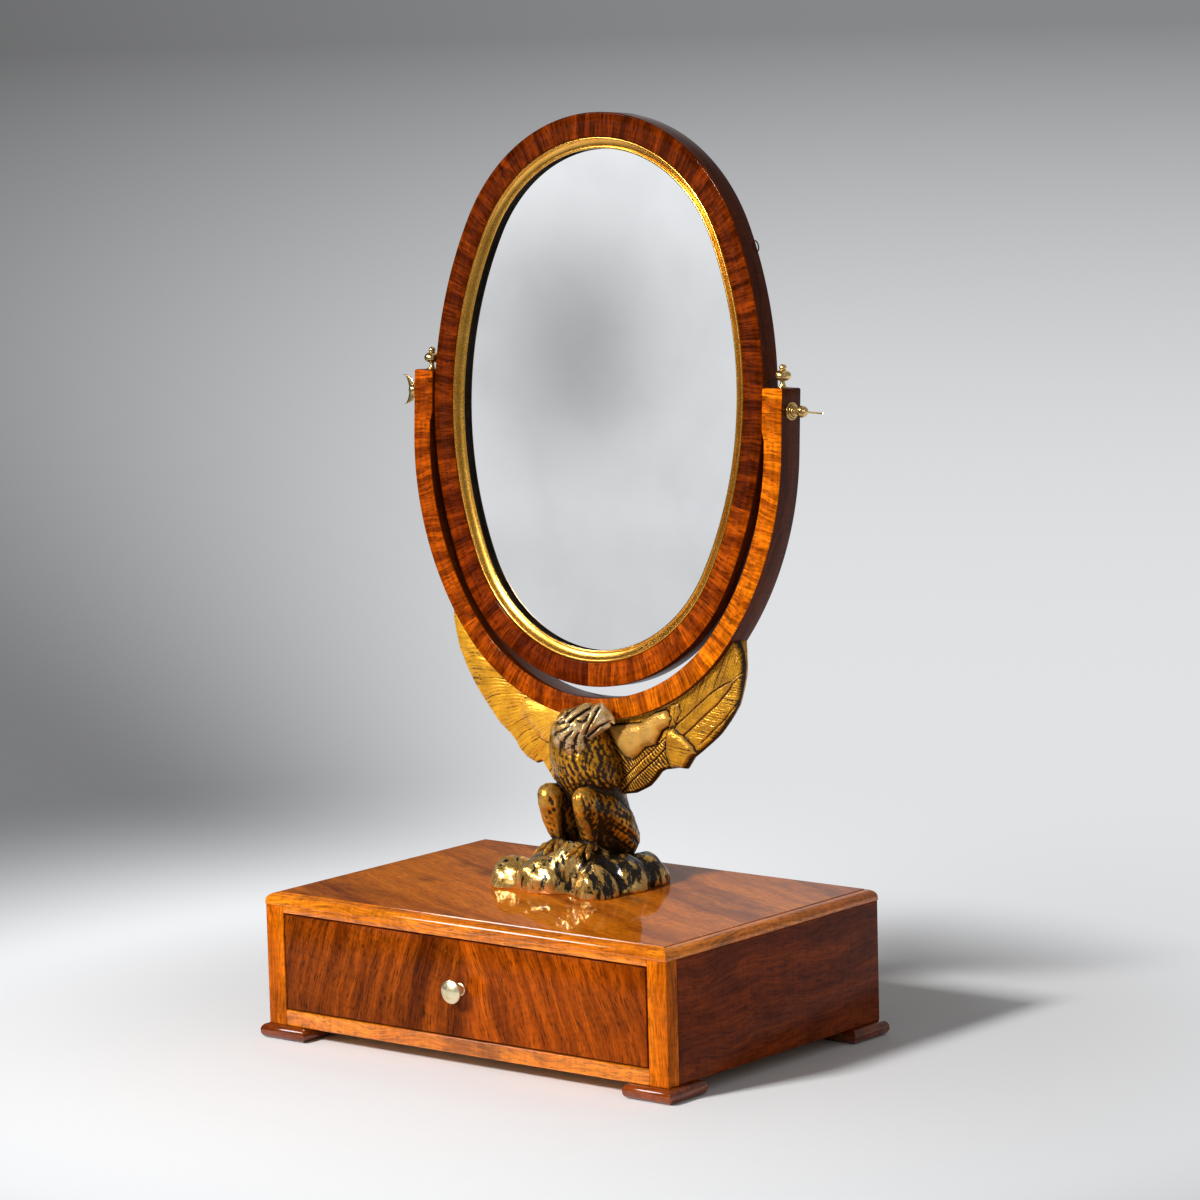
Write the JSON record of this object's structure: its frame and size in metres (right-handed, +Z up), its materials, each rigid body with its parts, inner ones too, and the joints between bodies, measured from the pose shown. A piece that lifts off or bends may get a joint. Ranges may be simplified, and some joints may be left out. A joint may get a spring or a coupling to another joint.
{
  "type": "table mirror",
  "caption": "Dressing table mirror: an oval glass in a wooden frame that tilts in a bowed yoke, carried by a gilded eagle on a rock, above a low case with a drawer.",
  "frame": {"origin": "centre of the object's bounding box in plan, on the plane the feet stand on", "axes": "+Z up, the drawer and the glass face -Y, +X to the right of someone looking at the drawer"},
  "size_m": [0.4336, 0.3008, 0.7532],
  "materials": {
    "walnut_crossband": "French-polished crossbanded walnut veneer, high gloss",
    "walnut_polished": "French-polished walnut, high gloss",
    "walnut_veneer": "book-matched figured walnut veneer, high gloss",
    "softwood": "plain unfinished softwood",
    "gilt_carving": "carved wood, worn gold leaf over dark bole",
    "gilt_slip": "gilded moulding, burnished",
    "brass": "polished, lightly tarnished",
    "steel": "plain",
    "mirror": "silvered glass"
  },
  "bodies": {
    "stand": {"back_left_foot": "walnut_polished", "back_right_foot": "walnut_polished", "case_back": "softwood", "case_bottom": "softwood", "case_left_side": "walnut_polished", "case_right_side": "walnut_polished", "case_top": "walnut_polished", "drawer_stops": "softwood", "eagle_body": "gilt_carving", "eagle_left_wing": "gilt_carving", "eagle_right_wing": "gilt_carving", "foot_screws": "steel", "front_bottom_rail": "walnut_polished", "front_left_foot": "walnut_polished", "front_left_stile": "walnut_polished", "front_right_foot": "walnut_polished", "front_right_stile": "walnut_polished", "front_top_rail": "walnut_polished", "left_drawer_runner": "softwood", "left_finial": "brass", "left_rosette": "brass", "right_drawer_runner": "softwood", "right_finial": "brass", "right_rosette": "brass", "rock_base": "gilt_carving", "rock_screws": "steel", "yoke_bow": "walnut_crossband", "yoke_dowels": "softwood", "yoke_left_arm": "walnut_crossband", "yoke_right_arm": "walnut_crossband"},
    "drawer": {"drawer_front": "softwood", "drawer_veneer_left": "walnut_veneer", "drawer_veneer_right": "walnut_veneer", "drawer_left_side": "softwood", "drawer_right_side": "softwood", "drawer_back": "softwood", "drawer_bottom": "softwood", "drawer_knob": "brass", "knob_screw": "steel"},
    "mirror": {"frame_upper_left": "walnut_crossband", "frame_lower_left": "walnut_crossband", "frame_upper_right": "walnut_crossband", "frame_lower_right": "walnut_crossband", "left_pivot_bush": "brass", "right_pivot_bush": "brass", "gilt_slip": "gilt_slip", "mirror_glass": "mirror", "backboard": "softwood", "backboard_clips": "steel"},
    "left_thumbscrew": {"left_thumbscrew": "brass"},
    "right_thumbscrew": {"right_thumbscrew": "brass"}
  },
  "joints": [
    {"name": "drawer_slide", "type": "slide", "parent": "stand", "child": "drawer", "axis": [0, -1, 0], "range_m": [0, 0.17]},
    {"name": "mirror_tilt", "type": "hinge", "parent": "stand", "child": "mirror", "pos_m": [0, 0.0646, 0.519], "axis": [1, 0, 0], "continuous": true},
    {"name": "left_thumbscrew_turn", "type": "hinge", "parent": "stand", "child": "left_thumbscrew", "pos_m": [0, 0.0646, 0.519], "axis": [-1, 0, 0], "range_deg": [-15, 360]},
    {"name": "right_thumbscrew_turn", "type": "hinge", "parent": "stand", "child": "right_thumbscrew", "pos_m": [0, 0.0646, 0.519], "axis": [1, 0, 0], "range_deg": [-15, 360]}
  ]
}
